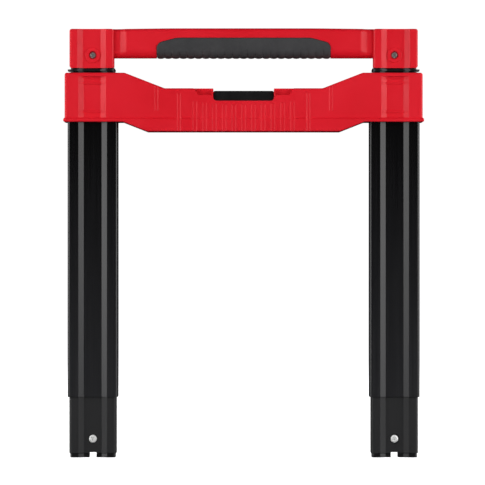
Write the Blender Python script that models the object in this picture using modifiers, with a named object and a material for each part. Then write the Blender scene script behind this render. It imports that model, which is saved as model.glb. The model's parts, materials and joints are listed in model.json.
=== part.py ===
"""Telescoping pull handle of a rolling tool box.

Metres, +Z up, +X to the right as seen from the front, the front faces -Y.
The origin is on the flat rear face of the cross bracket, half way up its slim middle part.
Two nested tube legs carry a hand grip: outer tubes, middle tubes and inner tubes.
"""
import math

import bmesh
import bpy
from mathutils import Matrix, Vector

# Driving dimensions -------------------------------------------------------------------------
LEG_X = 0.1737            # centre line of each leg
LEG_Y = -0.0200           # depth of the legs' centre plane
GAP = 0.0003              # clearance between touching pieces

WALL = 0.0013             # wall of every tube
OUTER_HALF = (0.0289, 0.0140)
MIDDLE_HALF = (0.0271, 0.0122)
INNER_HALF = (0.0217, 0.0092)
SLEEVE_HALF = (0.0253, 0.0104)
CAP_HALF = (0.0255, 0.0125)
CAP_X = 0.1750            # centre of each handle end, a little outside its leg
CHANNEL_FLOOR = 0.0102    # half width of the channel's floor
CHANNEL_RAMP = 0.0063     # width of each sloping side of the channel
CHANNEL_DEPTH = 0.0032

PLUG_LOW = -0.4000
MIDDLE_LOW = -0.3951
MIDDLE_TOP = 0.0432
OUTER_LOW = -0.3303
OUTER_TOP = 0.0385
INNER_LOW = -0.3500
INNER_TOP = 0.0700

BRACKET_FRONT = -0.0385
BRACKET_WALL = 0.0030
SLIM_TOP = 0.0248         # the slim middle part runs from -SLIM_TOP to SLIM_TOP
END_TOP = 0.0427
END_LOW = -0.0138
END_X = 0.2058
FLANGE_TOP = -0.0090
FLANGE_STEP = 0.0015

NOTCH_HALF = 0.0350
NOTCH_LOW = 0.0104
NOTCH_ROUND = 0.0040
BUTTON_TOP = 0.0219
POCKET_X = (0.0360, 0.0524, 0.0559)
POCKET_LOW = 0.0170
POCKET_DEPTH = 0.0070
RIM_TOP = 0.0226          # top of the thin wall between the notch and each pocket

FLUTE_PITCH = 0.0112
FLUTE_SIDE = 5            # flutes on each side of the middle one
FLUTE_SHAPE = (0.0014, 0.0014, 0.0004)    # half width of the floor, width of a side, depth
LINE_SHAPE = (0.0012, 0.0010, 0.0004)     # the same for the fine upright lines
LINE_X = (0.0744, 0.1002)
CROSSINGS = ((0.0366, 0.0012), (0.0308, 0.0014), (-0.0023, 0.0014))    # height, half width of each band
CROSSING_RISE = 0.0008
CHANNEL_SHIFT = 0.0004    # the bracket's channel is a little outside its leg

COVER_Z = (-0.0215, 0.0182)
COVER_HALF = 0.1120
HOLLOW_HALF = 0.1045
COVER_THICK = 0.0030
BOSS_AT = (0.0600, 0.0098)
COVER_SCREWS = [(sign * x, z) for sign in (-1, 1) for x, z in ((0.1083, -0.0150), (0.1083, 0.0136), BOSS_AT)]

BOLT_Z = -0.0040
BOLT_HALF = (0.0060, 0.0050)
BOLT_INNER_X = 0.0190
CAM_PIN_X = 0.0240
CAM_PIN_R = 0.0020
BUTTON_TRAVEL = 0.0060

CAP_LOW = 0.0484
CAP_TOP = 0.0935
BAR_TOP = 0.0942
BAR_LOW = 0.0599
BAR_HALF_DEPTH = 0.0125
BAR_ROUND = 0.0112        # between the bar's front and its underside
NECK_HALF_DEPTH = 0.0085
NECK_X = (0.1340, 0.1430)

GRIP_HALF = 0.1000
GRIP_PROUD = 0.0015
GRIP_CORE = 0.0103        # half depth of the bar inside the grip
GRIP_CORE_LOW = 0.0625
GRIP_TOP = 0.0830
GRIP_END_TOP = 0.0778
GRIP_LOW = 0.0607
GRIP_ROUND = 0.0110
BUMPS = 23
BUMP_DEPTH = 0.0011

CAP_SCREW_Z = 0.0632
CAP_SCREW_Y = -0.0275     # under the heads of the cap screws, which sit deep in their bosses
SHELL_SCREW_X = (0.0380, 0.1135)
SHELL_SCREW_Z = 0.0875
PLUG_SCREW_Z = -0.3786
NOTCH_X = 0.0041          # half width of the notch in each leg's lower end
LEG_NOTCH_TOP = -0.3929
PLUG_HEAD_R = 0.0046
PLUG_SEAT_Y = -0.0266     # under the heads of the plug screws, which sit flush in the tube wall
STAGE_TRAVEL = 0.2300
DETENT_Z = -0.3400
SIDES = {"left": -1, "right": 1}

# Collections and materials ------------------------------------------------------------------
for old in list(bpy.data.objects):
    bpy.data.objects.remove(old, do_unlink=True)

PARTS = bpy.data.collections.new("tool_box_pull_handle")
CUTTERS = bpy.data.collections.new("cutters")
for made in (PARTS, CUTTERS):
    bpy.context.scene.collection.children.link(made)


def material(name, colour, roughness, metallic=0.0):
    """A Principled material in one colour."""
    made = bpy.data.materials.new(name)
    made.use_nodes = True
    shader = made.node_tree.nodes["Principled BSDF"]
    shader.inputs["Base Color"].default_value = (*colour, 1.0)
    shader.inputs["Roughness"].default_value = roughness
    shader.inputs["Metallic"].default_value = metallic
    made.diffuse_color = (*colour, 1.0)
    return made


RED = material("red_plastic", (0.62, 0.012, 0.025), 0.45)
BLACK = material("black_plastic", (0.012, 0.012, 0.013), 0.5)
RUBBER = material("grip_rubber", (0.035, 0.035, 0.038), 0.8)
ANODISED = material("black_anodised", (0.02, 0.02, 0.022), 0.3, 0.6)
SATIN = material("dark_anodised", (0.04, 0.04, 0.042), 0.45, 0.6)
STEEL = material("zinc_steel", (0.6, 0.6, 0.6), 0.35, 1.0)


# Outlines: lists of 2D points, anticlockwise ---------------------------------------------------
def rounded(corners, steps=4):
    """An outline from (x, y, radius) corners, with an arc at each corner that has a radius."""
    points = []
    for i, (x, y, radius) in enumerate(corners):
        here = Vector((x, y))
        if radius <= 0:
            points.append(here)
            continue
        back = (Vector(corners[i - 1][:2]) - here).normalized()
        ahead = (Vector(corners[(i + 1) % len(corners)][:2]) - here).normalized()
        half = back.angle(ahead) / 2
        reach = radius / math.tan(half)
        centre = here + (back + ahead).normalized() * radius / math.sin(half)
        start = here + back * reach - centre
        turn = start.angle_signed(here + ahead * reach - centre)
        for k in range(steps + 1):
            angle = -turn * k / steps
            cos, sin = math.cos(angle), math.sin(angle)
            points.append(centre + Vector((start.x * cos - start.y * sin, start.x * sin + start.y * cos)))
    return points


def rectangle(x0, y0, x1, y1, radius=0.0, steps=4):
    """A rectangle, with round corners when it has a radius."""
    return rounded([(x0, y0, radius), (x1, y0, radius), (x1, y1, radius), (x0, y1, radius)], steps)


def channelled(centre, half, radius, steps=4):
    """The legs' section: a rounded rectangle with a sloping-sided channel in its front and rear."""
    wide, deep = half
    mouth = CHANNEL_FLOOR + CHANNEL_RAMP
    floor = deep - CHANNEL_DEPTH
    front = [(-wide, -deep, radius), (-mouth, -deep, 0), (-CHANNEL_FLOOR, -floor, 0),
             (CHANNEL_FLOOR, -floor, 0), (mouth, -deep, 0), (wide, -deep, radius)]
    rear = [(-x, -y, r) for x, y, r in front]
    return rounded([(centre + x, LEG_Y + y, r) for x, y, r in front + rear], steps)


def grown(half, by):
    """Half sizes made larger by the same amount each way."""
    return half[0] + by, half[1] + by


# Solids --------------------------------------------------------------------------------------
TURNS = {
    "Z": Matrix.Identity(4),
    "Y": Matrix(((1, 0, 0, 0), (0, 0, 1, 0), (0, 1, 0, 0), (0, 0, 0, 1))),
    "X": Matrix(((0, 0, 1, 0), (1, 0, 0, 0), (0, 1, 0, 0), (0, 0, 0, 1))),
}


def add(name, mesh, finish, collection=PARTS):
    """An object for a mesh that is in world coordinates."""
    made = bpy.data.objects.new(name, mesh)
    if finish:
        mesh.materials.append(finish)
    collection.objects.link(made)
    return made


def tidy_mesh(mesh, sharp_angle=25):
    """Weld the caps, make flat faces whole, point faces outwards and shade round ones smooth."""
    work = bmesh.new()
    work.from_mesh(mesh)
    bmesh.ops.remove_doubles(work, verts=work.verts, dist=1e-7)
    bmesh.ops.dissolve_limit(work, angle_limit=math.radians(0.5), verts=work.verts, edges=work.edges)
    bmesh.ops.recalc_face_normals(work, faces=work.faces)
    work.to_mesh(mesh)
    work.free()
    mesh.shade_smooth()
    mesh.set_sharp_from_angle(angle=math.radians(sharp_angle))


def along(axis, low):
    """The transform that puts an outline, drawn flat, across an axis at a distance along it."""
    return TURNS[axis] @ Matrix.Translation((0, 0, low))


def prism(name, outline, low, high, axis, finish=None, collection=PARTS):
    """An outline extruded along an axis. Along X it is in (y, z), along Y in (x, z), along Z in (x, y)."""
    mesh = bpy.data.meshes.new(name)
    work = bmesh.new()
    face = work.faces.new([work.verts.new((x, y, 0)) for x, y in outline])
    grown_part = bmesh.ops.extrude_face_region(work, geom=[face])["geom"]
    far = [v for v in grown_part if isinstance(v, bmesh.types.BMVert)]
    bmesh.ops.translate(work, verts=far, vec=(0, 0, high - low))
    work.to_mesh(mesh)
    work.free()
    mesh.transform(along(axis, low))
    tidy_mesh(mesh)
    return add(name, mesh, finish, collection)


def ring_prism(name, outside, inside, low, high, finish=None, collection=PARTS):
    """A straight tube along Z between two outlines, made as a filled curve."""
    curve = bpy.data.curves.new(name, "CURVE")
    curve.dimensions = "2D"
    curve.fill_mode = "BOTH"
    curve.extrude = (high - low) / 2
    for outline in (outside, inside):
        spline = curve.splines.new("POLY")
        spline.points.add(len(outline) - 1)
        for point, (x, y) in zip(spline.points, outline):
            point.co = (x, y, 0, 1)
        spline.use_cyclic_u = True
    mesh = mesh_of_curve(name, curve)
    mesh.transform(Matrix.Translation((0, 0, (low + high) / 2)))
    tidy_mesh(mesh)
    return add(name, mesh, finish, collection)


def mesh_of_curve(name, curve):
    """The mesh of a curve, with the curve's own object removed."""
    source = bpy.data.objects.new(name + "_curve", curve)
    CUTTERS.objects.link(source)
    mesh = bpy.data.meshes.new_from_object(source.evaluated_get(bpy.context.evaluated_depsgraph_get()))
    bpy.data.objects.remove(source, do_unlink=True)
    mesh.materials.clear()
    return mesh


def box(name, low, high, finish=None, collection=PARTS):
    """A box between two corners."""
    mesh = bpy.data.meshes.new(name)
    work = bmesh.new()
    size = [b - a for a, b in zip(low, high)]
    middle = [(a + b) / 2 for a, b in zip(low, high)]
    bmesh.ops.create_cube(work, size=1, matrix=Matrix.Translation(middle) @ Matrix.Diagonal((*size, 1)))
    work.to_mesh(mesh)
    work.free()
    return add(name, mesh, finish, collection)


def rod(name, start, end, radius, finish=None, collection=PARTS, sides=20):
    """A cylinder between two points."""
    start, end = Vector(start), Vector(end)
    line = end - start
    mesh = bpy.data.meshes.new(name)
    work = bmesh.new()
    place = Matrix.Translation((start + end) / 2) @ line.to_track_quat("Z", "Y").to_matrix().to_4x4()
    bmesh.ops.create_cone(work, cap_ends=True, segments=sides, radius1=radius, radius2=radius,
                          depth=line.length, matrix=place)
    work.to_mesh(mesh)
    work.free()
    mesh.shade_smooth()
    mesh.set_sharp_from_angle(angle=math.radians(25))
    return add(name, mesh, finish, collection)


def loft(name, stations, section, finish=None, collection=PARTS):
    """A closed body through sections that have the same number of points."""
    mesh = bpy.data.meshes.new(name)
    work = bmesh.new()
    rings = [[work.verts.new((x, y, z)) for y, z in section(x)] for x in stations]
    for one, two in zip(rings, rings[1:]):
        for k in range(len(one)):
            work.faces.new((one[k - 1], one[k], two[k], two[k - 1]))
    work.faces.new(rings[0])
    work.faces.new(rings[-1])
    bmesh.ops.recalc_face_normals(work, faces=work.faces)
    work.to_mesh(mesh)
    work.free()
    return add(name, mesh, finish, collection)


def settle(made):
    """Apply an object's modifiers to its mesh."""
    mesh = bpy.data.meshes.new_from_object(made.evaluated_get(bpy.context.evaluated_depsgraph_get()))
    made.modifiers.clear()
    made.data = mesh
    tidy_mesh(mesh)


def combine(made, others, operation):
    """Join, cut or intersect an object with others, and keep the cutters as hidden guides."""
    for other in others:
        if other.name not in CUTTERS.objects:
            PARTS.objects.unlink(other)
            CUTTERS.objects.link(other)
        other.hide_render = True
        other.display_type = "WIRE"
        change = made.modifiers.new(operation.lower(), "BOOLEAN")
        change.operation = operation
        change.object = other
    settle(made)
    return made


def cut(made, *others):
    return combine(made, others, "DIFFERENCE")


def join(made, *others):
    return combine(made, others, "UNION")


def overlap(made, *others):
    return combine(made, others, "INTERSECT")


def cut_box(low, high):
    return box("cutter", low, high, None, CUTTERS)


def cut_rod(start, end, radius, sides=20):
    return rod("cutter", start, end, radius, None, CUTTERS, sides)


def cut_prism(outline, low, high, axis):
    return prism("cutter", outline, low, high, axis, None, CUTTERS)


def bevel(made, width, segments=2, angle=40):
    """Round the edges of an object that are sharper than an angle."""
    change = made.modifiers.new("bevel", "BEVEL")
    change.width = width
    change.segments = segments
    change.limit_method = "ANGLE"
    change.angle_limit = math.radians(angle)
    settle(made)
    return made


def mirrored_x(points):
    """A symmetric outline from the corners of its right half, listed from the bottom to the top."""
    return rounded(points + [(-x, y, r) for x, y, r in reversed(points)])


# Cross bracket ---------------------------------------------------------------------------------
def bracket_outline():
    return mirrored_x([
        (0.1107, -SLIM_TOP, 0.004), (0.1386, END_LOW, 0.004), (END_X, END_LOW, 0.0026),
        (END_X, END_TOP, 0.0026), (0.1369, END_TOP, 0.006), (0.0909, SLIM_TOP, 0.008)])


def make_flange():
    """The lower edge of the bracket, a step proud of its front and ends, with a sloping upper side."""
    step = FLANGE_STEP
    front, end = BRACKET_FRONT - step, END_X + step
    outline = mirrored_x([(0.1107, -SLIM_TOP, 0.004), (0.1386, END_LOW, 0.004), (end, END_LOW, 0.0015),
                          (end, FLANGE_TOP - step, 0), (END_X, FLANGE_TOP, 0)])
    made = prism("flange", outline, front, 0, "Y", None, CUTTERS)
    round_front(made, 0.0011, 3)
    low = -SLIM_TOP - 0.001
    side = rounded([(front, low, 0), (0, low, 0), (0, FLANGE_TOP, 0), (BRACKET_FRONT, FLANGE_TOP, 0),
                    (front, FLANGE_TOP - step, 0)])
    return overlap(made, prism("flange_side", side, -0.215, 0.215, "X", None, CUTTERS))


def round_front(made, radius, segments):
    """Round the edges round the foremost face of a prism along Y."""
    work = bmesh.new()
    work.from_mesh(made.data)
    front = min(v.co.y for v in work.verts) + 1e-6
    edges = [e for e in work.edges if all(v.co.y < front for v in e.verts)]
    bmesh.ops.bevel(work, geom=edges, offset=radius, offset_type="OFFSET", segments=segments,
                    profile=0.5, affect="EDGES")
    work.to_mesh(made.data)
    work.free()
    tidy_mesh(made.data)


def groove(x, half, ramp, depth, low, high, rear=BRACKET_FRONT):
    """A cutter for an upright groove with sloping sides in the bracket's front."""
    out = 0.006
    slope = ramp / depth
    sides = [(x - half - ramp - out * slope, rear - out, 0), (x - half, rear + depth, 0),
             (x + half, rear + depth, 0), (x + half + ramp + out * slope, rear - out, 0)]
    return cut_prism(rounded(sides), low, high, "Z")


def crossing_band(sign, z, half):
    """A band with sloping sides, a little proud of the bracket's channel and level with it at the edges."""
    centre = sign * (LEG_X + CHANNEL_SHIFT)
    mouth = CHANNEL_FLOOR + CHANNEL_RAMP

    def section(x):
        depth = min(CHANNEL_DEPTH, (mouth - abs(x - centre)) * CHANNEL_DEPTH / CHANNEL_RAMP)
        rise = CROSSING_RISE * min(1.0, depth / 0.0015)
        under, crest = BRACKET_FRONT + depth + 0.0010, BRACKET_FRONT + depth - rise
        foot, top = half + 0.0012, half - 0.0005
        return [(under, z - foot), (under, z + foot), (crest, z + top), (crest, z - top)]

    offsets = [CHANNEL_FLOOR, mouth - 0.0020, mouth - 0.0003]
    stations = sorted([centre - x for x in offsets] + [centre + x for x in offsets])
    return loft("band", stations, section, None, CUTTERS)


def make_bracket():
    made = prism("bracket_body", bracket_outline(), BRACKET_FRONT, 0, "Y", RED)
    round_front(made, 0.0024, 4)
    join(made, make_flange())
    low, high, out = -SLIM_TOP - 0.001, 0.0300, -0.0450
    flange_high, flange_front = FLANGE_TOP - 0.0010, BRACKET_FRONT - FLANGE_STEP
    rim_half = POCKET_X[0] + 0.0001
    notch = rectangle(-NOTCH_HALF, NOTCH_LOW, NOTCH_HALF, 0.0200, NOTCH_ROUND)
    cutters = [cut_box((-NOTCH_HALF, out, NOTCH_LOW + NOTCH_ROUND), (NOTCH_HALF, -0.0095, high)),
               cut_box((-NOTCH_HALF, out, BUTTON_TOP - 0.0008), (NOTCH_HALF, 0.001, high)),
               cut_box((-rim_half, out, RIM_TOP), (rim_half, BRACKET_FRONT + POCKET_DEPTH, high)),
               cut_prism(notch, out, -0.0095, "Y")]
    for sign in SIDES.values():
        leg = sign * LEG_X
        inner, low_out, top_out = (sign * x for x in POCKET_X)
        spread = (top_out - low_out) / (SLIM_TOP - 0.0027 - POCKET_LOW)
        pocket = [(inner, POCKET_LOW, 0), (low_out, POCKET_LOW, 0),
                  (low_out + spread * (high - POCKET_LOW), high, 0), (inner, high, 0)]
        cutters.append(cut_prism(rounded(pocket), out, BRACKET_FRONT + POCKET_DEPTH, "Y"))
        cutters.append(groove(leg + sign * CHANNEL_SHIFT, CHANNEL_FLOOR - 0.0006, CHANNEL_RAMP, CHANNEL_DEPTH,
                              FLANGE_TOP, 0.0384))
        cutters.append(groove(sign * LINE_X[1], *LINE_SHAPE, -0.0007, 0.0400))
        cutters.append(groove(sign * LINE_X[0], *LINE_SHAPE, flange_high, 0.0190))
        cutters.append(groove(sign * LINE_X[0], *LINE_SHAPE, low, flange_high, flange_front))
    for k in range(-FLUTE_SIDE, FLUTE_SIDE + 1):
        top = 0.0056 + 0.0040 * (abs(k) / FLUTE_SIDE) ** 2
        cutters.append(groove(k * FLUTE_PITCH, *FLUTE_SHAPE, flange_high, top))
        cutters.append(groove(k * FLUTE_PITCH, *FLUTE_SHAPE, low, flange_high, flange_front))
    cut(made, *cutters)
    join(made, *[crossing_band(sign, z, half) for sign in SIDES.values() for z, half in CROSSINGS])
    bevel(made, 0.0006, 2, 48)
    cut_bracket_inside(made)
    return made


def bolt_window(one, two, gap, drop=0.0):
    """A cutter for the hole that a lock bolt slides through, between two places across the handle."""
    (low, high), z = sorted((one, two)), BOLT_Z - drop
    return cut_box((low, LEG_Y - BOLT_HALF[0] - gap, z - BOLT_HALF[1] - gap),
                   (high, LEG_Y + BOLT_HALF[0] + gap, z + BOLT_HALF[1] + gap))


def cut_bracket_inside(made):
    """The sockets for the legs, the hollow for the lock and the holes in the rear."""
    wide, seat = HOLLOW_HALF, COVER_HALF + GAP
    cover = rectangle(-seat, COVER_Z[0] - GAP, seat, COVER_Z[1] + GAP, 0.004)
    cutters = [
        cut_prism(rectangle(-wide, -0.0190, wide, 0.0135, 0.003), BRACKET_FRONT + BRACKET_WALL, 0.001, "Y"),
        cut_prism(rectangle(-wide, -0.0190, wide, 0.0160, 0.003), -0.0245, 0.001, "Y"),
        cut_prism(cover, -COVER_THICK - GAP, 0.001, "Y"),
    ]
    for sign in SIDES.values():
        leg = sign * LEG_X
        socket = channelled(leg, grown(OUTER_HALF, GAP), 0.0033)
        bush = channelled(leg, grown(OUTER_HALF, 0.0015), 0.0045)
        cutters.append(cut_prism(socket, -0.0200, OUTER_TOP + 0.0010, "Z"))
        cutters.append(cut_prism(bush, OUTER_TOP, 0.0500, "Z"))
        cutters.append(bolt_window(sign * 0.1030, sign * 0.1480, GAP))
        for z in (-0.0125, 0.0240):
            cutters.append(cut_rod((sign * 0.1280, -0.0120, z), (sign * 0.1280, 0.001, z), 0.0023))
    cut(made, *cutters)
    (x, z), end = BOSS_AT, -COVER_THICK - 0.0006
    join(made, *[rod("boss", (sign * x, -0.0375, z), (sign * x, end, z), 0.0032, None, CUTTERS)
                 for sign in SIDES.values()])
    cut(made, *[cut_rod((x, -0.0150, z), (x, 0.001, z), 0.0016, 12) for x, z in COVER_SCREWS])


def make_bracket_cover():
    plate = rectangle(-COVER_HALF, COVER_Z[0], COVER_HALF, COVER_Z[1], 0.004)
    made = prism("bracket_rear_cover", plate, -COVER_THICK, 0, "Y", RED)
    cutters = []
    for x, z in COVER_SCREWS:
        cutters.append(cut_rod((x, -0.0045, z), (x, 0.001, z), 0.0017, 16))
        cutters.append(cut_rod((x, -0.0020, z), (x, 0.001, z), 0.0032, 20))
    return cut(made, *cutters)


def cross_recess(at, radius, depth, turn=0.0):
    """Two crossed slots for a screwdriver, cut along Y from a point. Depth is signed along +Y."""
    slots = []
    low, high = sorted((at[1] - math.copysign(0.001, depth), at[1] + depth))
    place = Matrix.Translation((at[0], 0, at[2]))
    for angle in (turn, turn + math.pi / 2):
        slot = cut_box((-radius, low, -radius * 0.24), (radius, high, radius * 0.24))
        slot.data.transform(place @ Matrix.Rotation(angle, 4, "Y"))
        slots.append(slot)
    return slots


def screw(name, at, head_r, head_h, shank_r, length, into, recess=0.0, steps=12):
    """A pan-head screw along Y. `at` is the point under its head and `into` is the way it goes in."""
    flat = head_r * 0.72
    profile = [(0, -head_h), (flat, -head_h), (head_r, -head_h * 0.45), (head_r, 0), (shank_r, 0),
               (shank_r, length - shank_r), (shank_r * 0.4, length), (0, length)]
    mesh = bpy.data.meshes.new(name)
    mesh.from_pydata([(r, 0, -d) for r, d in profile], [(i, i + 1) for i in range(len(profile) - 1)], [])
    made = add(name, mesh, STEEL)
    turned = made.modifiers.new("screw", "SCREW")
    turned.steps = turned.render_steps = steps
    turned.use_merge_vertices = True
    turned.merge_threshold = 0.00001
    settle(made)
    made.data.transform(Matrix.Translation(at) @ Matrix.Rotation(math.copysign(math.pi / 2, into), 4, "X"))
    tidy_mesh(made.data)
    if recess:
        top = (at[0], at[1] - into * head_h, at[2])
        cut(made, *cross_recess(top, head_r * 0.62, into * recess, 0.5))
    return made


# Legs -------------------------------------------------------------------------------------------
def tube(name, centre, half, low, high, finish, radius=0.0030):
    outside = channelled(centre, half, radius)
    inside = channelled(centre, grown(half, -WALL), radius - WALL)
    return ring_prism(name, outside, inside, low, high, finish)


def make_outer_tube(side, sign):
    made = tube(f"outer_tube_{side}", sign * LEG_X, OUTER_HALF, OUTER_LOW, OUTER_TOP, ANODISED)
    inner_side = sign * (LEG_X - OUTER_HALF[0])
    return cut(made, bolt_window(inner_side - sign * 0.001, inner_side + sign * (WALL + 0.001), GAP))


def make_guide_bush(side, sign):
    leg = sign * LEG_X
    outside = channelled(leg, grown(OUTER_HALF, 0.0012), 0.0042)
    inside = channelled(leg, grown(MIDDLE_HALF, GAP), 0.0033)
    return ring_prism(f"guide_bush_{side}", outside, inside, OUTER_TOP + GAP, END_TOP - 0.0004, BLACK)


def make_middle_tube(side, sign):
    leg = sign * LEG_X
    made = tube(f"middle_tube_{side}", leg, MIDDLE_HALF, MIDDLE_LOW, MIDDLE_TOP, SATIN)
    over, under = MIDDLE_HALF[0] + 0.001, MIDDLE_HALF[0] - WALL - 0.001
    far = sorted((leg + sign * over, leg + sign * under))
    cutters = [bolt_window(leg - sign * over, leg - sign * under, 0.0005, STAGE_TRAVEL * share)
               for share in (0.5, 1.0)]
    z = DETENT_Z + STAGE_TRAVEL
    cutters.append(cut_rod((far[0], LEG_Y, z), (far[1], LEG_Y, z), 0.0030))
    front = LEG_Y - MIDDLE_HALF[1]
    cutters.append(cut_rod((leg, front - 0.001, PLUG_SCREW_Z), (leg, front + 0.006, PLUG_SCREW_Z),
                           PLUG_HEAD_R + 0.0010, 28))
    cutters.append(cut_box((leg - NOTCH_X, front - 0.001, MIDDLE_LOW - 0.001),
                           (leg + NOTCH_X, front + 0.006, LEG_NOTCH_TOP)))
    return cut(made, *cutters)


def make_collar(side, sign):
    """The slide bush in the top of a middle tube, with a thin lip round it."""
    leg = sign * LEG_X
    hole = channelled(leg, grown(INNER_HALF, GAP), 0.0033)
    made = prism(f"stage_collar_{side}", channelled(leg, SLEEVE_HALF, 0.0030), 0.0000, 0.0481, "Z", BLACK)
    outline = channelled(sign * (CAP_X + 0.0002), (0.0274, 0.0139), 0.0050)
    lip = prism("lip", outline, 0.0450, 0.0467, "Z", None, CUTTERS)
    join(made, lip)
    return cut(made, cut_prism(hole, -0.001, 0.050, "Z"))


def make_bottom_plug(side, sign):
    leg = sign * LEG_X
    made = prism(f"bottom_plug_{side}", channelled(leg, grown(MIDDLE_HALF, -0.0011), 0.0026),
                 PLUG_LOW, MIDDLE_LOW - GAP, "Z", BLACK)
    body = channelled(leg, grown(MIDDLE_HALF, -WALL - GAP), 0.0018)
    join(made, prism("plug_body", body, PLUG_LOW + 0.001, -0.3650, "Z", None, CUTTERS))
    front = LEG_Y - MIDDLE_HALF[1]
    low, entry = PLUG_LOW - 0.001, (leg, front + 0.002, PLUG_SCREW_Z)
    pockets = [cut_box((x - 0.0065, LEG_Y - 0.0050, low), (x + 0.0065, LEG_Y + 0.0050, -0.3710))
               for x in (leg - 0.0150, leg + 0.0150)]
    notch = cut_box((leg - NOTCH_X, front - 0.001, low),
                    (leg + NOTCH_X, LEG_Y + 0.0130, LEG_NOTCH_TOP + 0.0004))
    seat = cut_rod(entry, (leg, PLUG_SEAT_Y + GAP, PLUG_SCREW_Z), PLUG_HEAD_R + GAP, 28)
    bore = cut_rod(entry, (leg, PLUG_SEAT_Y + 0.0120, PLUG_SCREW_Z), 0.0024, 16)
    return cut(made, *pockets, notch, seat, bore)


def make_inner_tube(side, sign):
    leg = sign * LEG_X
    made = tube(f"inner_tube_{side}", leg, INNER_HALF, INNER_LOW, INNER_TOP, SATIN)
    wall = leg + sign * INNER_HALF[0]
    ends = sorted((wall - sign * 0.003, wall + sign * 0.001))
    hole = cut_rod((ends[0], LEG_Y, DETENT_Z), (ends[1], LEG_Y, DETENT_Z), 0.0028)
    across = cut_rod((leg, LEG_Y - 0.0120, CAP_SCREW_Z), (leg, LEG_Y + 0.0120, CAP_SCREW_Z), 0.0028)
    return cut(made, hole, across)


def make_guide_block(side, sign):
    """The slide block on the lower end of an inner tube, which also holds the detent."""
    leg = sign * LEG_X
    made = prism(f"guide_block_{side}", channelled(leg, SLEEVE_HALF, 0.0030), -0.3560, -0.3280, "Z", BLACK)
    outside = channelled(leg, grown(INNER_HALF, GAP), 0.0033)
    inside = channelled(leg, grown(INNER_HALF, -WALL - GAP), 0.0014)
    groove_ring = ring_prism("ring", outside, inside, INNER_LOW - GAP, -0.3270, None, CUTTERS)
    bore = sorted((sign * (LEG_X + 0.0066), sign * (LEG_X + SLEEVE_HALF[0] + 0.0010)))
    return cut(made, groove_ring, cut_rod((bore[0], LEG_Y, DETENT_Z), (bore[1], LEG_Y, DETENT_Z), 0.0028))


def make_detent(side, sign):
    """A round-nosed pin, drilled from behind for its spring."""
    nose = LEG_X + MIDDLE_HALF[0] - WALL - GAP
    tail, drilled, spring_start = nose - 0.0119, nose - 0.0027, nose - 0.0181

    def at(x):
        return sign * x, LEG_Y, DETENT_Z

    pin = rod(f"detent_pin_{side}", at(tail), at(nose), 0.0025, STEEL)
    bevel(pin, 0.0008, 2, 60)
    cut(pin, cut_rod(at(tail - 0.0010), at(drilled), 0.0018))
    coil(f"detent_spring_{side}", at(spring_start), at(drilled - 0.0006), 0.0011, 0.0002, 5)
    return pin


def coil(name, start, end, radius, wire, turns):
    """A coil spring between two points."""
    start, end = Vector(start), Vector(end)
    line = end - start
    turn = line.to_track_quat("Z", "Y").to_matrix()
    steps = turns * 8
    curve = bpy.data.curves.new(name, "CURVE")
    curve.dimensions = "3D"
    curve.bevel_depth = wire
    curve.bevel_resolution = 1
    curve.use_fill_caps = True
    spline = curve.splines.new("POLY")
    spline.points.add(steps)
    for k, point in enumerate(spline.points):
        angle = 2 * math.pi * turns * k / steps
        rise = wire + (line.length - 2 * wire) * k / steps
        place = start + turn @ Vector((radius * math.cos(angle), radius * math.sin(angle), rise))
        point.co = (*place, 1)
    mesh = mesh_of_curve(name, curve)
    work = bmesh.new()
    work.from_mesh(mesh)
    bmesh.ops.remove_doubles(work, verts=work.verts, dist=1e-7)
    bmesh.ops.recalc_face_normals(work, faces=work.faces)
    work.to_mesh(mesh)
    work.free()
    mesh.shade_smooth()
    return add(name, mesh, STEEL)


# Lock in the bracket ------------------------------------------------------------------------------
def cam_slot(sign):
    """A slot at 45 degrees that pulls the cam pin inwards as the button goes down."""
    reach = BUTTON_TRAVEL + GAP
    width = CAM_PIN_R + GAP
    start = Vector((sign * CAM_PIN_X, BOLT_Z)) + Vector((sign, -1)) * GAP
    end = Vector((sign * CAM_PIN_X, BOLT_Z)) + Vector((-sign, 1)) * reach
    way = (end - start).normalized()
    aside = Vector((-way.y, way.x)) * width
    flat = [start - aside, end - aside, end + aside, start + aside]
    slot = cut_prism([tuple(p) for p in flat], -0.0360, -0.0290, "Y")
    ends = [cut_rod((p.x, -0.0360, p.y), (p.x, -0.0290, p.y), width) for p in (start, end)]
    return [slot, *ends]


def make_button():
    half = NOTCH_HALF - GAP
    front = rectangle(-half, 0.0080, half, BUTTON_TOP, 0.0018)
    made = prism("release_button", front, -0.0350, -0.0100, "Y", BLACK)
    bevel(made, 0.0010, 2, 60)
    cut(made, cut_box((-0.0320, -0.0325, 0.0070), (0.0320, -0.0122, BUTTON_TOP - 0.0025)))
    join(made, box("wing", (-0.0400, -0.0350, -0.0120), (0.0400, -0.0300, 0.0132), None, CUTTERS))
    return cut(made, *cam_slot(-1), *cam_slot(1))


def make_lock_bolt(side, sign):
    """A flat bar from the button's cam slot to the leg."""
    ends = sorted((sign * BOLT_INNER_X, sign * (LEG_X - MIDDLE_HALF[0] - GAP)))
    made = box(f"lock_bolt_{side}", (ends[0], LEG_Y - BOLT_HALF[0], BOLT_Z - BOLT_HALF[1]),
               (ends[1], LEG_Y + BOLT_HALF[0], BOLT_Z + BOLT_HALF[1]), STEEL)
    bevel(made, 0.0008, 1, 60)
    x = sign * CAM_PIN_X
    pin = rod("cam_pin", (x, -0.0345, BOLT_Z), (x, -0.0250, BOLT_Z), CAM_PIN_R, None, CUTTERS)
    low, high = sorted((sign * 0.0330, sign * 0.1000))
    relief = cut_box((low, LEG_Y - 0.0070, BOLT_Z + 0.0015), (high, LEG_Y + 0.0070, BOLT_Z + 0.0060))
    return cut(join(made, pin), relief)


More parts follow.
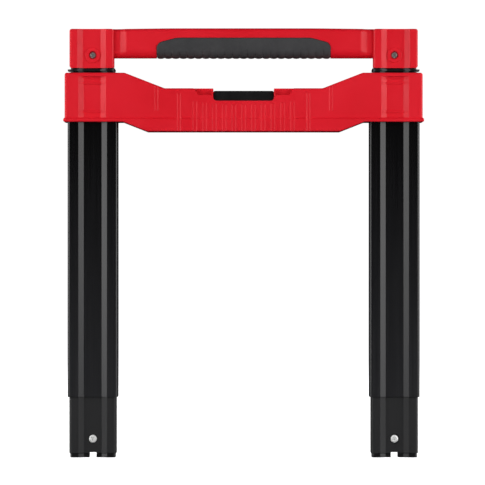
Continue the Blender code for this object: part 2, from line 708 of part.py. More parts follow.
# Handle -------------------------------------------------------------------------------------------
def smooth(value):
    value = min(max(value, 0.0), 1.0)
    return value * value * (3 - 2 * value)


def bar_section(x):
    """The hand bar's section at x: flat front and rear, a small radius on top and a large one below."""
    neck = smooth((abs(x) - NECK_X[0]) / (NECK_X[1] - NECK_X[0]))
    deep = BAR_HALF_DEPTH + (NECK_HALF_DEPTH - BAR_HALF_DEPTH) * neck
    top = BAR_TOP + (CAP_TOP - BAR_TOP) * smooth((abs(x) - 0.0750) / 0.0750)
    low = min(BAR_ROUND, deep - 0.0007)
    return rounded([(LEG_Y - deep, BAR_LOW, low), (LEG_Y + deep, BAR_LOW, low),
                    (LEG_Y + deep, top, 0.0045), (LEG_Y - deep, top, 0.0045)], 5)


def bar_stations():
    """Close together where the bar changes, and far apart where it is straight."""
    end = CAP_X - CAP_HALF[0] + 0.004
    ramp = [NECK_X[0] + (NECK_X[1] - NECK_X[0]) * k / 6 for k in range(7)]
    crown = [0.0750, 0.0900, 0.1050, 0.1200]
    right = sorted(crown + ramp + [end])
    return [-x for x in reversed(right)] + right


def make_cap_form(sign):
    """A handle end: the legs' section, rounded over the top and at the lower corners."""
    leg, middle = sign * LEG_X, sign * CAP_X
    half_x, half_y = CAP_HALF
    made = prism("cap", channelled(middle, CAP_HALF, 0.0022), CAP_LOW, CAP_TOP, "Z", None, CUTTERS)
    wide, deep = half_x + 0.0001, half_y + 0.0001
    front = rectangle(middle - wide, CAP_LOW, middle + wide, CAP_TOP, 0.0030)
    side = rounded([(LEG_Y - deep, CAP_LOW, 0), (LEG_Y + deep, CAP_LOW, 0),
                    (LEG_Y + deep, CAP_TOP, 0.0020), (LEG_Y - deep, CAP_TOP, 0.0020)])
    overlap(made, prism("cap_front", front, -0.045, 0.005, "Y", None, CUTTERS),
            prism("cap_side", side, leg - 0.030, leg + 0.030, "X", None, CUTTERS))
    reach = half_y - CHANNEL_DEPTH + 0.0014
    boss = rod("cap_boss", (leg, LEG_Y - reach, CAP_SCREW_Z), (leg, LEG_Y + reach, CAP_SCREW_Z),
               0.0088, None, CUTTERS, 28)
    bevel(boss, 0.0009, 2, 60)
    return join(made, boss)


def grip_outline(spread):
    """The grip seen from the front. With no spread its underside has finger ribs, or it is a plain cutter."""
    end = GRIP_HALF + spread
    low = 0.050 if spread else GRIP_LOW
    right = [(end, low, 0), (end, GRIP_END_TOP - 0.0045 + spread, 0.004),
             (end - 0.0035, GRIP_END_TOP + spread, 0.003), (0.0775, GRIP_TOP + spread, 0.012)]
    outline = rounded(right + [(-x, z, r) for x, z, r in reversed(right)])
    if spread:
        return outline
    pitch = 2 * GRIP_HALF / BUMPS
    for k in range(BUMPS):
        for share in (0.06, 0.2, 0.35, 0.5, 0.65, 0.8, 0.94):
            deep = BUMP_DEPTH * math.sin(math.pi * share) ** 0.6
            outline.append(Vector((-GRIP_HALF + pitch * (k + share), GRIP_LOW - deep)))
    return outline


def grip_side(proud):
    """The section round the bar at the grip."""
    deep = BAR_HALF_DEPTH + proud
    low = GRIP_LOW - BUMP_DEPTH - 0.0001
    return rounded([(LEG_Y - deep, low, GRIP_ROUND), (LEG_Y + deep, low, GRIP_ROUND),
                    (LEG_Y + deep, GRIP_TOP + 0.004, 0.0025), (LEG_Y - deep, GRIP_TOP + 0.004, 0.0025)], 5)


def make_grip():
    made = prism("grip", grip_outline(0), LEG_Y - 0.020, LEG_Y + 0.020, "Y", RUBBER)
    overlap(made, prism("grip_side", grip_side(GRIP_PROUD), -0.110, 0.110, "X", None, CUTTERS))
    core = GRIP_CORE + GAP
    hole = rectangle(LEG_Y - core, GRIP_CORE_LOW - GAP, LEG_Y + core, 0.100, 0.004)
    return cut(made, cut_prism(hole, -0.110, 0.110, "X"))


def make_handle_shells():
    """Front and rear halves of the handle, split on the legs' centre plane."""
    form = loft("handle_form", bar_stations(), bar_section, RED)
    join(form, *[make_cap_form(sign) for sign in SIDES.values()])
    seat = prism("grip_seat", grip_outline(GAP), LEG_Y - 0.020, LEG_Y + 0.020, "Y", None, CUTTERS)
    core = rectangle(LEG_Y - GRIP_CORE, GRIP_CORE_LOW, LEG_Y + GRIP_CORE, 0.100, 0.0037)
    cut(seat, cut_prism(core, -0.120, 0.120, "X"))
    cut(form, seat)
    cut(form, *handle_hollows())
    shells = []
    for name, low, high in (("handle_front_shell", -0.050, LEG_Y - GAP / 2),
                            ("handle_rear_shell", LEG_Y + GAP / 2, 0.010)):
        shell = add(name, form.data.copy(), None)
        overlap(shell, box("half", (-0.210, low, 0.040), (0.210, high, 0.100), None, CUTTERS))
        shells.append(shell)
    bpy.data.objects.remove(form, do_unlink=True)
    front, rear = shells
    cut(front, *[c for sign in SIDES.values() for c in cap_screw_cutters(sign)],
        *shell_holes(-0.0280, -0.0180, 0.0018, 12))
    nuts = [nut_prism("cutter", sign, 0.0044, -0.0134, 0.0, CUTTERS) for sign in SIDES.values()]
    holes = [cut_rod((sign * LEG_X, -0.0210, CAP_SCREW_Z), (sign * LEG_X, -0.0100, CAP_SCREW_Z), 0.0028)
             for sign in SIDES.values()]
    cut(rear, *nuts, *holes, *shell_holes(-0.0210, -0.0070, 0.0018, 12),
        *shell_holes(-0.0100, -0.0050, 0.0036, 20))
    return shells


def shell_holes(low, high, radius, sides):
    """Cutters for the screws that hold the two halves of the handle together."""
    return [cut_rod((x, low, SHELL_SCREW_Z), (x, high, SHELL_SCREW_Z), radius, sides)
            for x in shell_screw_places()]


def shell_screw_places():
    return [sign * x for sign in (-1, 1) for x in SHELL_SCREW_X]


def handle_hollows():
    """Ribbed hollows along the bar and the sockets for the inner tubes."""
    hollow_deep, low, high = 0.0078, 0.0650, 0.0905
    edges = [0.0010, 0.0340, 0.0420, 0.0760, 0.0780, 0.1095, 0.1175, 0.1330]
    cutters = []
    for sign in SIDES.values():
        for start, end in zip(edges[::2], edges[1::2]):
            x0, x1 = sorted((sign * start, sign * end))
            cutters.append(cut_box((x0, LEG_Y - hollow_deep, low), (x1, LEG_Y + hollow_deep, high)))
        leg = sign * LEG_X
        socket = channelled(leg, grown(INNER_HALF, GAP), 0.0033)
        cutters.append(cut_prism(socket, 0.040, INNER_TOP + 0.0005, "Z"))
        cutters.append(cut_box((leg - 0.0180, LEG_Y - 0.0055, 0.0690),
                               (leg + 0.0180, LEG_Y + 0.0055, 0.0885)))
    return cutters


def cap_screw_cutters(sign):
    leg = sign * LEG_X
    return [cut_rod((leg, -0.0350, CAP_SCREW_Z), (leg, CAP_SCREW_Y + GAP, CAP_SCREW_Z), 0.0045, 28),
            cut_rod((leg, -0.0350, CAP_SCREW_Z), (leg, -0.0200, CAP_SCREW_Z), 0.0028)]


def nut_prism(name, sign, reach, low, high, collection, finish=None):
    """A hexagon along Y on the cap screw's line."""
    leg = sign * LEG_X
    corners = [(leg + reach * math.cos(math.pi * k / 3) / math.cos(math.pi / 6),
                CAP_SCREW_Z + reach * math.sin(math.pi * k / 3) / math.cos(math.pi / 6)) for k in range(6)]
    return prism(name, corners, low, high, "Y", finish, collection)


def make_nut(side, sign):
    made = nut_prism(f"cap_nut_{side}", sign, 0.0040, -0.0131, -0.0094, PARTS, STEEL)
    leg = sign * LEG_X
    return cut(made, cut_rod((leg, -0.0150, CAP_SCREW_Z), (leg, -0.0080, CAP_SCREW_Z), 0.0027))


# Assembly -------------------------------------------------------------------------------------------
def body(name, place, members, parent=None):
    """An empty on the joint's axis that carries the pieces which move together."""
    holder = bpy.data.objects.new(name, None)
    holder.empty_display_size = 0.02
    holder.location = Vector(place) - (parent.matrix_world.translation if parent else Vector())
    holder.parent = parent
    PARTS.objects.link(holder)
    bpy.context.view_layer.update()
    for member in members:
        member.data.transform(Matrix.Translation(-Vector(place)))
        member.parent = holder
    return holder


def both(make):
    return [make(side, sign) for side, sign in SIDES.items()]


def build():
    fixed = [make_bracket(), make_bracket_cover(), *both(make_outer_tube), *both(make_guide_bush)]
    fixed += [screw(f"cover_screw_{k + 1}", (x, -0.0017, z), 0.0028, 0.0015, 0.0013, 0.0095, -1)
              for k, (x, z) in enumerate(COVER_SCREWS)]
    spring = (0, LEG_Y, -0.0187), (0, LEG_Y, BUTTON_TOP - 0.0028)
    fixed.append(coil("button_spring", *spring, 0.0042, 0.0005, 8))
    middle = both(make_middle_tube) + both(make_collar) + both(make_bottom_plug)
    middle += [screw(f"plug_screw_{side}", (sign * LEG_X, PLUG_SEAT_Y, PLUG_SCREW_Z),
                     PLUG_HEAD_R, 0.0022, 0.0021, 0.0110, 1, 0.0013, 20) for side, sign in SIDES.items()]
    handle = both(make_inner_tube) + both(make_guide_block) + both(make_nut)
    handle += [*make_handle_shells(), make_grip()]
    handle += [screw(f"cap_screw_{side}", (sign * LEG_X, CAP_SCREW_Y, CAP_SCREW_Z),
                     0.0037, 0.0014, 0.0023, 0.0174, 1, 0.0009, 20) for side, sign in SIDES.items()]
    handle += [screw(f"shell_screw_{k + 1}", (x, -0.0097, SHELL_SCREW_Z), 0.0033, 0.0018, 0.0015, 0.0160, -1)
               for k, x in enumerate(shell_screw_places())]
    root = body("fixed_stage", (0, 0, 0), fixed)
    carriage = body("middle_stage", (0, LEG_Y, 0), middle, root)
    top = body("handle_stage", (0, LEG_Y, CAP_LOW), handle, carriage)
    body("button_slide", (0, LEG_Y, 0.0120), [make_button()], root)
    for side, sign in SIDES.items():
        body(f"lock_slide_{side}", (sign * LEG_X, LEG_Y, BOLT_Z), [make_lock_bolt(side, sign)], root)
        pin = make_detent(side, sign)
        spring = bpy.data.objects[f"detent_spring_{side}"]
        spring.data.transform(Matrix.Translation((0, -LEG_Y, -CAP_LOW)))
        spring.parent = top
        body(f"detent_slide_{side}", (sign * LEG_X, LEG_Y, DETENT_Z), [pin], top)


build()
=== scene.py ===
"""Looks of the telescoping pull handle: materials, finer visible pieces, floor, light and camera."""
import json
import math

import bmesh
import bpy
from mathutils import Matrix, Vector


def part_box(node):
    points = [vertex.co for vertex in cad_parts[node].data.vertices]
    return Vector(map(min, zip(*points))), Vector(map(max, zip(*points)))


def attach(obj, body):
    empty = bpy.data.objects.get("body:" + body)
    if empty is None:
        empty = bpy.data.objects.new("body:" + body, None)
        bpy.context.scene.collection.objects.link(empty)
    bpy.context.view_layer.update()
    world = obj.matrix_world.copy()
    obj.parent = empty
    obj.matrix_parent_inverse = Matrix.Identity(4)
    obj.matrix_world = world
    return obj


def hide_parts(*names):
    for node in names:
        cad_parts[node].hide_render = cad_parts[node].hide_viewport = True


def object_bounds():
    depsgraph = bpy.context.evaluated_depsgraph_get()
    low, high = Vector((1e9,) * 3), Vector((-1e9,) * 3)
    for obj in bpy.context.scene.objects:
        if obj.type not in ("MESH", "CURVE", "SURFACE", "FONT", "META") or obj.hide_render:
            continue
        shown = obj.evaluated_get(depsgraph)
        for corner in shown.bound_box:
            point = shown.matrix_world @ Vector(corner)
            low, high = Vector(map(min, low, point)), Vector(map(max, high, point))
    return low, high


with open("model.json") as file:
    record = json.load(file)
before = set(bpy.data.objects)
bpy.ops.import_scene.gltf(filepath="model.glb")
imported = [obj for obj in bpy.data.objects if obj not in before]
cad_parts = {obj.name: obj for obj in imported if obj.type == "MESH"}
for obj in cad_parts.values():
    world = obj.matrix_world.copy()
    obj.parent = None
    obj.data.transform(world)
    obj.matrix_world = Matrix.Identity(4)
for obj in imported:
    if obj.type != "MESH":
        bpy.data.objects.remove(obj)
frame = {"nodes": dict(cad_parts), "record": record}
CAD_LOW, CAD_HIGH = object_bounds()
NODES = frame["nodes"]


# Camera, light and floor ------------------------------------------------------------------
FRONT_PLANE = -0.0340     # the depth at which the picture is PICTURE_WIDTH across
PICTURE_WIDTH = 0.55775
CAMERA_DISTANCE = 3.5
CAMERA_SHIFT = -0.0013    # to the left of the middle of the object
CAMERA_RISE = 0.0004      # above the middle of the object
SENSOR = 36.0
WORLD_LIGHT = 0.03
FLOOR_RADIUS = 14.0
FLOOR_GAP = 0.0002        # between the floor and the lowest face


def make_camera():
    """A long lens straight in front of the object, a little above its middle."""
    data = bpy.data.cameras.new("camera")
    data.sensor_width = SENSOR
    data.lens = SENSOR * CAMERA_DISTANCE / PICTURE_WIDTH
    camera = bpy.data.objects.new("camera", data)
    middle_z = (CAD_LOW.z + CAD_HIGH.z) / 2
    camera.location = (CAMERA_SHIFT, FRONT_PLANE - CAMERA_DISTANCE, middle_z + CAMERA_RISE)
    camera.rotation_euler = (math.radians(90), 0, 0)
    bpy.context.scene.collection.objects.link(camera)
    bpy.context.scene.camera = camera


def area_light(name, place, target, size, power, glossy=True):
    """A soft box that faces a target. One that isn't glossy lights matt surfaces only."""
    data = bpy.data.lights.new(name, "AREA")
    data.shape = "RECTANGLE"
    data.size, data.size_y = size
    data.energy = power
    light = bpy.data.objects.new(name, data)
    light.location = place
    light.rotation_euler = (Vector(target) - Vector(place)).to_track_quat("-Z", "Y").to_euler()
    light.visible_glossy = glossy
    bpy.context.scene.collection.objects.link(light)


def make_lights():
    """On each side a soft box that the tubes' sloping faces reflect, one in front and one behind."""
    for name, sign in (("softbox_left", -1), ("softbox_right", 1)):
        area_light(name, (sign * 1.62, -0.66, 0.10), (0, 0, 0.10), (2.0, 1.60), 29)
        area_light(name + "_bounce", (sign * 1.3, -1.6, 0.3), (0, 0, 0), (1.0, 1.0), 11, False)
        area_light(name + "_rear", (sign * 1.4, 1.7, 0.6), (0, 0, 0), (1.2, 1.2), 16, False)
    world = bpy.data.worlds.new("studio")
    world.use_nodes = True
    background = world.node_tree.nodes["Background"]
    background.inputs["Color"].default_value = (1, 1, 1, 1)
    background.inputs["Strength"].default_value = WORLD_LIGHT
    bpy.context.scene.world = world


def make_floor():
    """A round floor with a dome over it, pale, so that it is behind the object in every view."""
    work = bmesh.new()
    bmesh.ops.create_circle(work, cap_ends=True, segments=96, radius=FLOOR_RADIUS)
    bmesh.ops.create_uvsphere(work, u_segments=96, v_segments=48, radius=FLOOR_RADIUS)
    below = [v for v in work.verts if v.co.z < -0.001]
    bmesh.ops.delete(work, geom=below, context="VERTS")
    bmesh.ops.translate(work, verts=work.verts, vec=(0, 0, CAD_LOW.z - FLOOR_GAP))
    mesh = bpy.data.meshes.new("floor")
    work.to_mesh(mesh)
    work.free()
    floor = bpy.data.objects.new("floor", mesh)
    bpy.context.scene.collection.objects.link(floor)
    finish = bpy.data.materials.new("studio_paper")
    finish.use_nodes = True
    shader = finish.node_tree.nodes["Principled BSDF"]
    shader.inputs["Base Color"].default_value = (0.9, 0.9, 0.9, 1)
    shader.inputs["Roughness"].default_value = 0.9
    shader.inputs["Emission Color"].default_value = (1, 1, 1, 1)
    shader.inputs["Emission Strength"].default_value = 1.0
    mesh.materials.append(finish)
    floor.visible_glossy = False
    floor.visible_diffuse = False


# Materials --------------------------------------------------------------------------------
DULLING_AND_PAINTED_LIGHT_LOW, DULLING_AND_PAINTED_LIGHT_HIGH = -0.34, -0.02    # heights between which the tubes get duller (rougher) downwards, and their colour paler as painted light


class Nodes:
    """A material's node tree, with short calls for the nodes that are used below."""

    def __init__(self, name):
        self.material = bpy.data.materials.new(name)
        self.material.use_nodes = True
        self.tree = self.material.node_tree
        self.shader = self.tree.nodes["Principled BSDF"]
        self.place = self.add("ShaderNodeTexCoord").outputs["Object"]

    def add(self, kind, **values):
        made = self.tree.nodes.new(kind)
        for key, value in values.items():
            if hasattr(made, key):
                setattr(made, key, value)
            else:
                made.inputs[key.replace("_", " ")].default_value = value
        return made

    def link(self, source, target):
        self.tree.links.new(source, target)

    def stretched(self, scale):
        made = self.add("ShaderNodeMapping")
        made.inputs["Scale"].default_value = scale
        self.link(self.place, made.inputs["Vector"])
        return made.outputs["Vector"]

    def height(self):
        made = self.add("ShaderNodeSeparateXYZ")
        self.link(self.place, made.inputs["Vector"])
        return made.outputs["Z"]

    def noise(self, scale, detail=3.0, roughness=0.5, vector=None):
        made = self.add("ShaderNodeTexNoise", Scale=scale, Detail=detail, Roughness=roughness)
        self.link(vector or self.place, made.inputs["Vector"])
        return made.outputs["Fac"]

    def ranged(self, value, low, high, start=0.0, end=1.0):
        made = self.add("ShaderNodeMapRange")
        self.link(value, made.inputs["Value"])
        span = (("From Min", start), ("From Max", end), ("To Min", low), ("To Max", high))
        for key, number in span:
            made.inputs[key].default_value = number
        return made.outputs["Result"]

    def ramp(self, value, dark, light):
        """One colour below 0.3, another above 0.7, and a blend between."""
        made = self.add("ShaderNodeValToRGB")
        self.link(value, made.inputs["Fac"])
        for mark, at, colour in zip(made.color_ramp.elements, (0.3, 0.7), (dark, light)):
            mark.position = at
            mark.color = (*colour, 1)
        return made.outputs["Color"]

    def scaled(self, colour, factor):
        made = self.add("ShaderNodeVectorMath", operation="SCALE")
        self.link(colour, made.inputs[0])
        self.link(factor, made.inputs["Scale"])
        return made.outputs[0]

    def sum(self, one, two):
        made = self.add("ShaderNodeMath")
        self.link(one, made.inputs[0])
        self.link(two, made.inputs[1])
        return made.outputs[0]

    def bump(self, height, strength, distance):
        made = self.add("ShaderNodeBump", Strength=strength, Distance=distance)
        self.link(height, made.inputs["Height"])
        return made.outputs["Normal"]

    def set(self, **values):
        for key, value in values.items():
            socket = self.shader.inputs[key.replace("_", " ")]
            if isinstance(value, bpy.types.NodeSocket):
                self.link(value, socket)
            else:
                socket.default_value = value
        return self.material


def red_plastic():
    """Moulded red plastic: a fine spark-eroded grain, and a slightly uneven sheen and colour."""
    n = Nodes("red_plastic_detail")
    colour = n.ramp(n.noise(14, 4), (0.70, 0.005, 0.015), (0.76, 0.009, 0.022))
    grain = n.bump(n.noise(2600, 2, 0.6), 0.12, 0.0003)
    rough = n.ranged(n.noise(60, 3), 0.44, 0.54, 0.3, 0.7)
    return n.set(Base_Color=colour, Roughness=rough, Specular_IOR_Level=0.38, Normal=grain)


def black_plastic():
    """Moulded black plastic of the button, collars, plugs and guides."""
    n = Nodes("black_plastic_detail")
    colour = n.ramp(n.noise(30, 4), (0.004, 0.004, 0.0045), (0.007, 0.007, 0.0075))
    rough = n.ranged(n.noise(90, 3), 0.36, 0.46, 0.3, 0.7)
    grain = n.bump(n.noise(2400, 2), 0.15, 0.0003)
    return n.set(Base_Color=colour, Roughness=rough, Normal=grain)


def grip_rubber():
    """Matt soft rubber with a coarser grain."""
    n = Nodes("grip_rubber_detail")
    colour = n.ramp(n.noise(40, 4), (0.036, 0.036, 0.038), (0.048, 0.047, 0.049))
    rough = n.ranged(n.noise(120, 3), 0.66, 0.8, 0.3, 0.7)
    grain = n.bump(n.noise(1800, 3, 0.65), 0.3, 0.0004)
    return n.set(Base_Color=colour, Roughness=rough, Normal=grain)


def anodised(name, dark, light, rough_top, rough_low, painted_brightening_low):
    """Drawn aluminium, anodised: fine streaks along the tube, duller (rougher) towards its lower end,
    where its colour is also made paler as painted light.
    """
    n = Nodes(name)
    streaks = n.noise(1, 4, 0.6, n.stretched((900, 900, 6)))
    height = n.height()
    # painted light: the colour is scaled up towards the lower end, standing in for the brighter
    # reflections that fall there
    painted_brightening = n.ranged(height, painted_brightening_low, 1.0, DULLING_AND_PAINTED_LIGHT_LOW, DULLING_AND_PAINTED_LIGHT_HIGH)
    colour = n.scaled(n.ramp(streaks, dark, light), painted_brightening)
    dull = n.ranged(height, rough_low, rough_top, DULLING_AND_PAINTED_LIGHT_LOW, DULLING_AND_PAINTED_LIGHT_HIGH)
    rough = n.sum(dull, n.ranged(streaks, -0.03, 0.03, 0.3, 0.7))
    return n.set(Base_Color=colour, Roughness=rough, Normal=n.bump(streaks, 0.05, 0.0002))


def zinc_steel(name, dark, light, metallic):
    """Zinc plated steel, faintly cloudy."""
    n = Nodes(name)
    colour = n.ramp(n.noise(300, 3), dark, light)
    rough = n.ranged(n.noise(700, 3), 0.26, 0.40, 0.3, 0.7)
    grain = n.bump(n.noise(1500, 2), 0.1, 0.0002)
    return n.set(Base_Color=colour, Roughness=rough, Metallic=metallic, Normal=grain)


def make_materials():
    """The finish of each slot, and a duller steel for the screws deep in their counterbores."""
    return {
        "red_plastic": red_plastic(),
        "black_plastic": black_plastic(),
        "grip_rubber": grip_rubber(),
        # the last number of each is how many times paler the lower end is painted: painted light
        "black_anodised": anodised("black_anodised_detail", (0.0012, 0.0012, 0.0014),
                                   (0.0024, 0.0024, 0.0027), 0.23, 0.46, 8.0),
        "dark_anodised": anodised("dark_anodised_detail", (0.0055, 0.0055, 0.006),
                                  (0.0075, 0.0075, 0.008), 0.50, 0.62, 2.2),
        "zinc_steel": zinc_steel("zinc_steel_detail", (0.84, 0.84, 0.83), (0.92, 0.92, 0.91), 0.12),
        "dull_steel": zinc_steel("dull_steel_detail", (0.34, 0.34, 0.34), (0.44, 0.44, 0.43), 0.6),
    }


# Pieces -----------------------------------------------------------------------------------
SHARP_ANGLE = 25          # degrees between faces, above which a CAD node's edge is sharp
BEVEL_ANGLE = 24.5        # degrees between faces, above which a refined edge gets its bevel


def node_facts():
    """The material slot and the body of every CAD node, from the record."""
    record = frame["record"]
    bodies = {node: body for body, nodes in record["behaviour"]["bodies"].items() for node in nodes}
    return {part["node"]: (part["material_slot"], bodies[part["node"]]) for part in record["subparts"]}


def add_piece(name, mesh, node, finish=None):
    """Put a new piece in place of a CAD node, in the finish of the node's slot or another."""
    slot, body = FACTS[node]
    piece = bpy.data.objects.new(name, mesh)
    mesh.materials.clear()
    mesh.materials.append(MATERIALS[finish or slot])
    bpy.context.scene.collection.objects.link(piece)
    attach(piece, body)
    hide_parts(node)


def shade(mesh, angle):
    """Smooth shading, except over edges that bend by more than an angle in degrees."""
    mesh.shade_smooth()
    mesh.set_sharp_from_angle(angle=math.radians(angle))


def applied(mesh, *changes):
    """A mesh with modifiers applied, each given as a kind and its values."""
    holder = bpy.data.objects.new("holder", mesh)
    bpy.context.scene.collection.objects.link(holder)
    for kind, values in changes:
        change = holder.modifiers.new(kind.lower(), kind)
        for key, value in values.items():
            setattr(change, key, value)
    evaluated = holder.evaluated_get(bpy.context.evaluated_depsgraph_get())
    result = bpy.data.meshes.new_from_object(evaluated)
    bpy.data.objects.remove(holder, do_unlink=True)
    return result


def refine(node, width, segments=3, clamp=False):
    """Put a copy of a CAD node with fine round edges in the node's place."""
    mesh = NODES[node].data.copy()
    work = bmesh.new()
    work.from_mesh(mesh)
    bmesh.ops.remove_doubles(work, verts=work.verts, dist=1e-6)
    bmesh.ops.dissolve_limit(work, angle_limit=math.radians(0.5), verts=work.verts, edges=work.edges)
    work.to_mesh(mesh)
    work.free()
    bevel = {"width": width, "segments": segments, "limit_method": "ANGLE",
             "angle_limit": math.radians(BEVEL_ANGLE), "use_clamp_overlap": clamp}
    mesh = applied(mesh, ("BEVEL", bevel), ("WEIGHTED_NORMAL", {"keep_sharp": False}))
    add_piece(node + "_piece", mesh, node)


def soft_min(values, softness):
    """The least of some values, with the corner between them rounded."""
    least = min(values)
    return least - softness * math.log(sum(math.exp((least - v) / softness) for v in values))


def smooth(value):
    """An eased step from 0 to 1."""
    value = min(max(value, 0.0), 1.0)
    return value * value * (3 - 2 * value)


GRIP_LOW, GRIP_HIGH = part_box("grip")
GRIP_HALF_LENGTH = GRIP_HIGH.x
GRIP_HALF_DEPTH = (GRIP_HIGH.y - GRIP_LOW.y) / 2
GRIP_MIDDLE_Y = (GRIP_LOW.y + GRIP_HIGH.y) / 2
GRIP_SLOPE_X, GRIP_END_X = 0.0775, 0.0965    # where the upper edge starts to slope, and to drop
GRIP_SLOPE_FALL = 0.0052  # how far the slope falls between them
GRIP_END_SLOPE = 0.0045 / 0.0035
GRIP_TOP_SOFTNESS = 0.0005    # rounds the corners of the upper edge
GRIP_BUMPS = 23
GRIP_BUMP_STEPS = 12
GRIP_BUMP_ROUNDNESS = 0.6    # the power of the ribs' sine: below 1 makes narrow grooves
GRIP_BUMP_DEPTH = 0.0011
GRIP_BUMP_FADE = (0.0735, 0.0120)    # the ribs fade out upwards: to this height, over this much
GRIP_BUMP_LEAST = 0.06    # share of the ribs' depth that is left above
GRIP_EDGE = 0.0011        # radius of the grip's outer edges
GRIP_EDGE_STEPS = 4
GRIP_END_STEPS = 5
GRIP_BELLY = 0.0110       # radius between the grip's front and its underside
GRIP_BELLY_STEPS = 12
GRIP_CORE = (0.0106, 0.0622)    # half depth and height of the bar that the grip is wrapped round
GRIP_CORE_ROUND = 0.0040        # its lower edges, as a chamfer in two steps
GRIP_CORE_STEP = 0.0012


def grip_top(x):
    """Height of the grip's upper edge: level in the middle, sloping down near the ends."""
    high, far = GRIP_HIGH.z, abs(x)
    slope = high - (far - GRIP_SLOPE_X) * GRIP_SLOPE_FALL / (GRIP_END_X - GRIP_SLOPE_X)
    end = high - GRIP_SLOPE_FALL - (far - GRIP_END_X) * GRIP_END_SLOPE
    return soft_min((high, slope, end), GRIP_TOP_SOFTNESS)


def grip_outline(x):
    """Half of a section without ribs, from the upper edge down and under: y, z and direction."""
    near_end = max(0.0, (abs(x) - (GRIP_HALF_LENGTH - GRIP_EDGE)) / GRIP_EDGE)
    inset = GRIP_EDGE * (1 - math.sqrt(max(0.0, 1 - near_end * near_end)))
    deep = GRIP_HALF_DEPTH - inset
    top = grip_top(x) - inset
    wall_low = GRIP_LOW.z + inset + GRIP_BELLY
    outline = []
    for k in range(GRIP_EDGE_STEPS + 1):
        angle = math.pi / 2 * k / GRIP_EDGE_STEPS
        outline.append((deep - GRIP_EDGE * (1 - math.sin(angle)),
                        top - GRIP_EDGE * (1 - math.cos(angle)), angle))
    for k in range(1, GRIP_BELLY_STEPS):
        fall = (top - GRIP_EDGE - wall_low) * k / GRIP_BELLY_STEPS
        outline.append((deep, top - GRIP_EDGE - fall, math.pi / 2))
    for k in range(GRIP_BELLY_STEPS + 1):
        angle = math.pi / 2 * (1 + k / GRIP_BELLY_STEPS)
        outline.append((deep - GRIP_BELLY * (1 - math.sin(angle)),
                        wall_low + GRIP_BELLY * math.cos(angle), angle))
    return outline, top


def grip_ring(x):
    """One closed section of the grip: its outside from the front under to the rear, its inside."""
    outline, top = grip_outline(x)
    pitch = 2 * GRIP_HALF_LENGTH / GRIP_BUMPS
    share = ((x + GRIP_HALF_LENGTH) / pitch) % 1.0
    groove = GRIP_BUMP_DEPTH * (1 - math.sin(math.pi * share) ** GRIP_BUMP_ROUNDNESS)
    fade_high, fade = GRIP_BUMP_FADE
    half = []
    for y, z, angle in outline:
        full = smooth((fade_high - z) / fade)
        reach = groove * (GRIP_BUMP_LEAST + (1 - GRIP_BUMP_LEAST) * full)
        half.append((y - reach * math.sin(angle), z - reach * math.cos(angle)))
    core, core_low = GRIP_CORE
    inside = [(core, top), (core, core_low + GRIP_CORE_ROUND),
              (core - GRIP_CORE_STEP, core_low + GRIP_CORE_STEP), (core - GRIP_CORE_ROUND, core_low)]
    front = [(GRIP_MIDDLE_Y - y, z) for y, z in half]
    rear = [(GRIP_MIDDLE_Y + y, z) for y, z in reversed(half)]
    lining = [(GRIP_MIDDLE_Y + y, z) for y, z in inside]
    lining += [(GRIP_MIDDLE_Y - y, z) for y, z in reversed(inside)]
    return [(x, y, z) for y, z in front + rear + lining]


def make_grip():
    """The rubber grip: a U-shaped sleeve with finger ribs along its underside."""
    half, steps = GRIP_HALF_LENGTH, GRIP_BUMPS * GRIP_BUMP_STEPS
    edge = [half - GRIP_EDGE * (1 - math.sin(math.pi / 2 * k / GRIP_END_STEPS))
            for k in range(1, GRIP_END_STEPS + 1)]
    inner = [-half + 2 * half * k / steps for k in range(1, steps)]
    inner = [x for x in inner if abs(x) < half - GRIP_EDGE]
    work = bmesh.new()
    rings = [[work.verts.new(place) for place in grip_ring(x)]
             for x in sorted([-x for x in edge] + edge + inner)]
    for one, two in zip(rings, rings[1:]):
        for k in range(len(one)):
            work.faces.new((one[k - 1], one[k], two[k], two[k - 1]))
    for ring in (rings[0], rings[-1]):
        count = len(ring) // 2
        for k in range(count - 1):
            work.faces.new((ring[k], ring[k + 1], ring[-2 - k], ring[-1 - k]))
    bmesh.ops.remove_doubles(work, verts=work.verts, dist=1e-7)
    bmesh.ops.recalc_face_normals(work, faces=work.faces)
    mesh = bpy.data.meshes.new("grip_sleeve")
    work.to_mesh(mesh)
    work.free()
    shade(mesh, 50)
    add_piece("grip_sleeve", mesh, "grip")


SCREW_SIDES = 40
CROWN_STEPS = 8
CROWN = 0.62              # how far the head's crown reaches down, as a share of its height
RIM = 0.92                # where the rim's chamfer starts, as a share of the head's height
RIM_CHAMFER = 0.0002
POINT = 0.4               # radius of the shank's end, as a share of the shank's
RECESS_TURN = 0.5         # how far a screw's cross is turned, in radians
RECESS_DEPTH = 0.75       # share of the head's height
RECESS_TAPER = (0.45, 0.6)    # length and width of an arm at its bottom, as shares of those on top
RECESS_OVER = 0.0004      # how far the cutter stands over the head

# Head height, shank radius, direction along Y from the head and reach of the recess
CAP_SCREW = (0.0014, 0.0023, 1, 0.0026)
PLUG_SCREW = (0.0022, 0.0021, 1, 0.0030)
COVER_SCREW = (0.0015, 0.0013, -1, 0.0019)
SHELL_SCREW = (0.0018, 0.0015, -1, 0.0022)


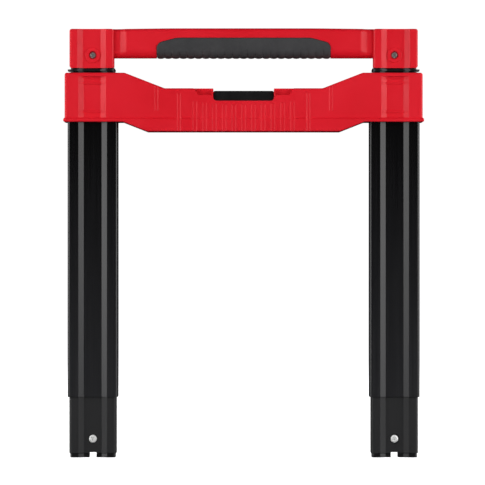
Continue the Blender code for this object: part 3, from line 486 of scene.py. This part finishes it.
def screw_solid(node, head, head_height, shank, length):
    """A pan head and a shank, turned about Y from the head's top at y = 0."""
    profile = [(0.0, 0.0)]
    for k in range(1, CROWN_STEPS + 1):
        angle = math.pi / 2 * k / CROWN_STEPS
        profile.append((head * math.sin(angle) ** 0.6,
                        head_height * CROWN * (1 - math.cos(angle) ** 1.2)))
    profile += [(head, head_height * RIM), (head - RIM_CHAMFER, head_height), (shank, head_height),
                (shank, length - shank), (shank * POINT, length), (0.0, length)]
    turns = [2 * math.pi * k / SCREW_SIDES for k in range(SCREW_SIDES)]
    work = bmesh.new()
    rings = []
    for radius, depth in profile:
        if radius == 0.0:
            rings.append([work.verts.new((0, depth, 0))])
        else:
            rings.append([work.verts.new((radius * math.cos(turn), depth, radius * math.sin(turn)))
                          for turn in turns])
    for one, two in zip(rings, rings[1:]):
        for k in range(SCREW_SIDES):
            corners = [one[k - 1] if len(one) > 1 else one[0], one[k] if len(one) > 1 else None,
                       two[k] if len(two) > 1 else two[0], two[k - 1] if len(two) > 1 else None]
            work.faces.new([c for c in corners if c])
    bmesh.ops.recalc_face_normals(work, faces=work.faces)
    mesh = bpy.data.meshes.new(node + "_fine")
    work.to_mesh(mesh)
    work.free()
    return mesh


def recess_cutter(head_height, drive):
    """Two crossed arms that taper into the head."""
    work = bmesh.new()
    for turn in (RECESS_TURN, RECESS_TURN + math.pi / 2):
        arm = bmesh.ops.create_cube(work, size=1)["verts"]
        for v in arm:
            on_top = v.co.y < 0
            long, wide = (1.0, 1.0) if on_top else RECESS_TAPER
            v.co.x *= 2 * drive * long
            v.co.z *= 0.5 * drive * wide
            v.co.y = -RECESS_OVER if on_top else head_height * RECESS_DEPTH
        bmesh.ops.rotate(work, verts=arm, cent=(0, 0, 0), matrix=Matrix.Rotation(turn, 3, "Y"))
    mesh = bpy.data.meshes.new("recess")
    work.to_mesh(mesh)
    work.free()
    cutter = bpy.data.objects.new("recess", mesh)
    bpy.context.scene.collection.objects.link(cutter)
    return cutter


def make_screw(node, head_height, shank, into, drive, finish=None):
    """A pan-head screw along Y with a tapered cross recess, in the box of its CAD node.

    It goes in along +Y where into is 1, and along -Y where it is -1. drive is the recess's reach.
    """
    low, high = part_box(node)
    middle = (low + high) / 2
    mesh = screw_solid(node, (high.x - low.x) / 2, head_height, shank, high.y - low.y)
    cutter = recess_cutter(head_height, drive)
    cut = {"object": cutter, "operation": "DIFFERENCE", "use_self": True}
    mesh = applied(mesh, ("BOOLEAN", cut))
    bpy.data.objects.remove(cutter, do_unlink=True)
    top = low.y if into > 0 else high.y
    mesh.transform(Matrix.Translation((middle.x, top, middle.z)) @ Matrix.Diagonal((1, into, 1, 1)))
    if into < 0:
        mesh.flip_normals()
    shade(mesh, 40)
    add_piece(node + "_piece", mesh, node, finish)


def make_screws():
    for side in ("left", "right"):
        make_screw(f"cap_screw_{side}", *CAP_SCREW, "dull_steel")
        make_screw(f"plug_screw_{side}", *PLUG_SCREW)
    for k in range(1, 7):
        make_screw(f"cover_screw_{k}", *COVER_SCREW)
    for k in range(1, 5):
        make_screw(f"shell_screw_{k}", *SHELL_SCREW)


EDGE_WIDTHS = {           # on a pair of parts, left and right
    "outer_tube": 0.00025, "middle_tube": 0.00025, "inner_tube": 0.0002,
    "bottom_plug": 0.0003, "guide_bush": 0.0003}
BUTTON_EDGE = 0.0002
SHELL_EDGE = 0.0003
SHELLS = ("bracket_rear_cover", "handle_front_shell", "handle_rear_shell",
          "stage_collar_left", "stage_collar_right")


def refine_nodes():
    """Round edges for the tubes, the button and the shells. The bracket keeps its CAD mesh."""
    for stem, width in EDGE_WIDTHS.items():
        for side in ("left", "right"):
            refine(f"{stem}_{side}", width)
    refine("release_button", BUTTON_EDGE)
    for node in SHELLS:
        refine(node, SHELL_EDGE, 2, clamp=True)


def paint_nodes():
    """Give every CAD node the detailed material of its slot, and smooth shading."""
    for name, node in NODES.items():
        node.data.materials.clear()
        node.data.materials.append(MATERIALS[FACTS[name][0]])
        shade(node.data, SHARP_ANGLE)


make_camera()
make_lights()
make_floor()
MATERIALS = make_materials()
FACTS = node_facts()
make_grip()
make_screws()
refine_nodes()
paint_nodes()
bpy.context.scene.view_settings.view_transform = "Standard"
